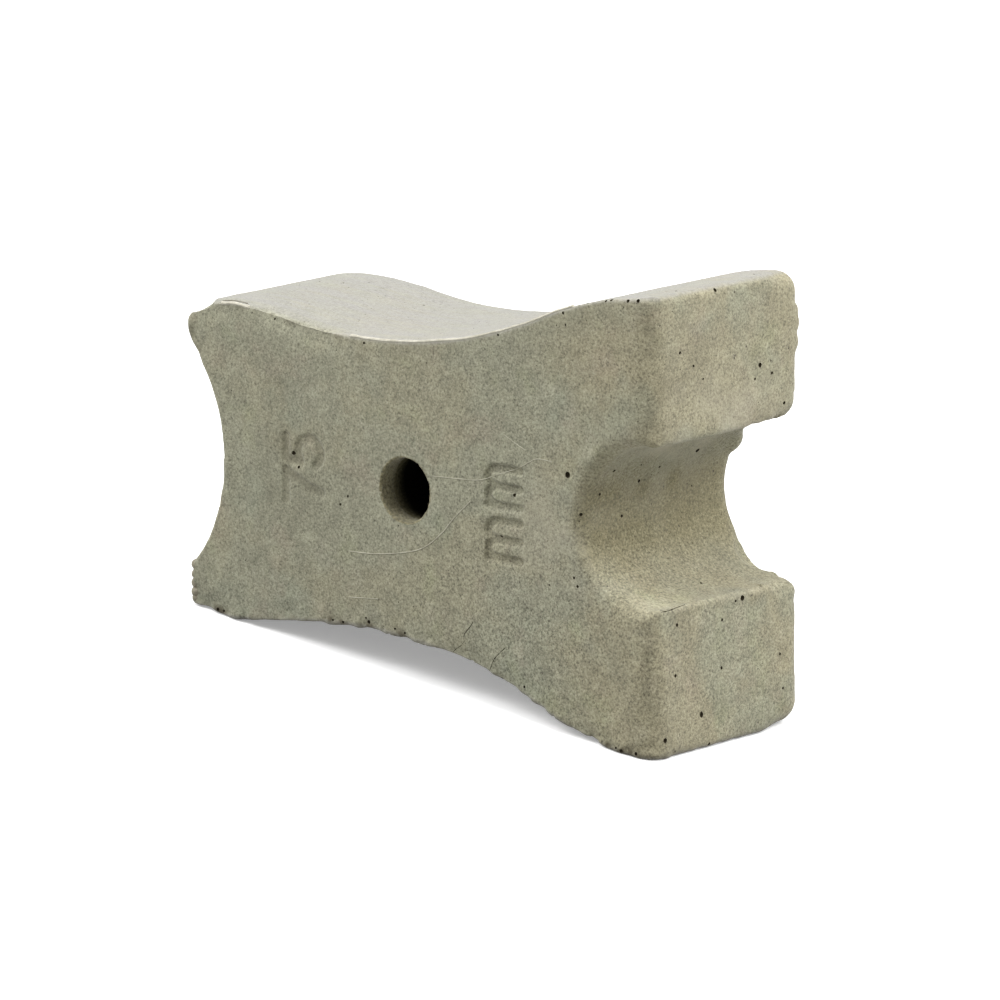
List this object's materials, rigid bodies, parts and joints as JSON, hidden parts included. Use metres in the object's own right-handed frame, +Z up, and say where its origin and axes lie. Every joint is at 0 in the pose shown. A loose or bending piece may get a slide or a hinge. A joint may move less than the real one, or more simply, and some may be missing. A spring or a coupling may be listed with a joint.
{
  "type": "rebar cover spacer",
  "caption": "Precast concrete block that holds a reinforcing bar off its formwork: feet at one end, bar saddle at the other, waisted sides and a tie-wire hole.",
  "frame": {"origin": "middle of the block's bounding box, at the ground that its lower side lands lie on", "axes": "+Z up; +X towards the soles, -X towards the bar saddle, with the block's own long axis 6.804 degrees above +X because its sides taper and it lies on one of them; -Y out of the marked front face, +Y out of the back"},
  "size_m": [0.0868, 0.0308, 0.0603],
  "materials": {
    "concrete": "cast fine concrete, matt, greenish grey to beige, with small air holes and crumbled edges"
  },
  "bodies": {
    "root": {"spacer_block": "concrete"}
  },
  "joints": []
}
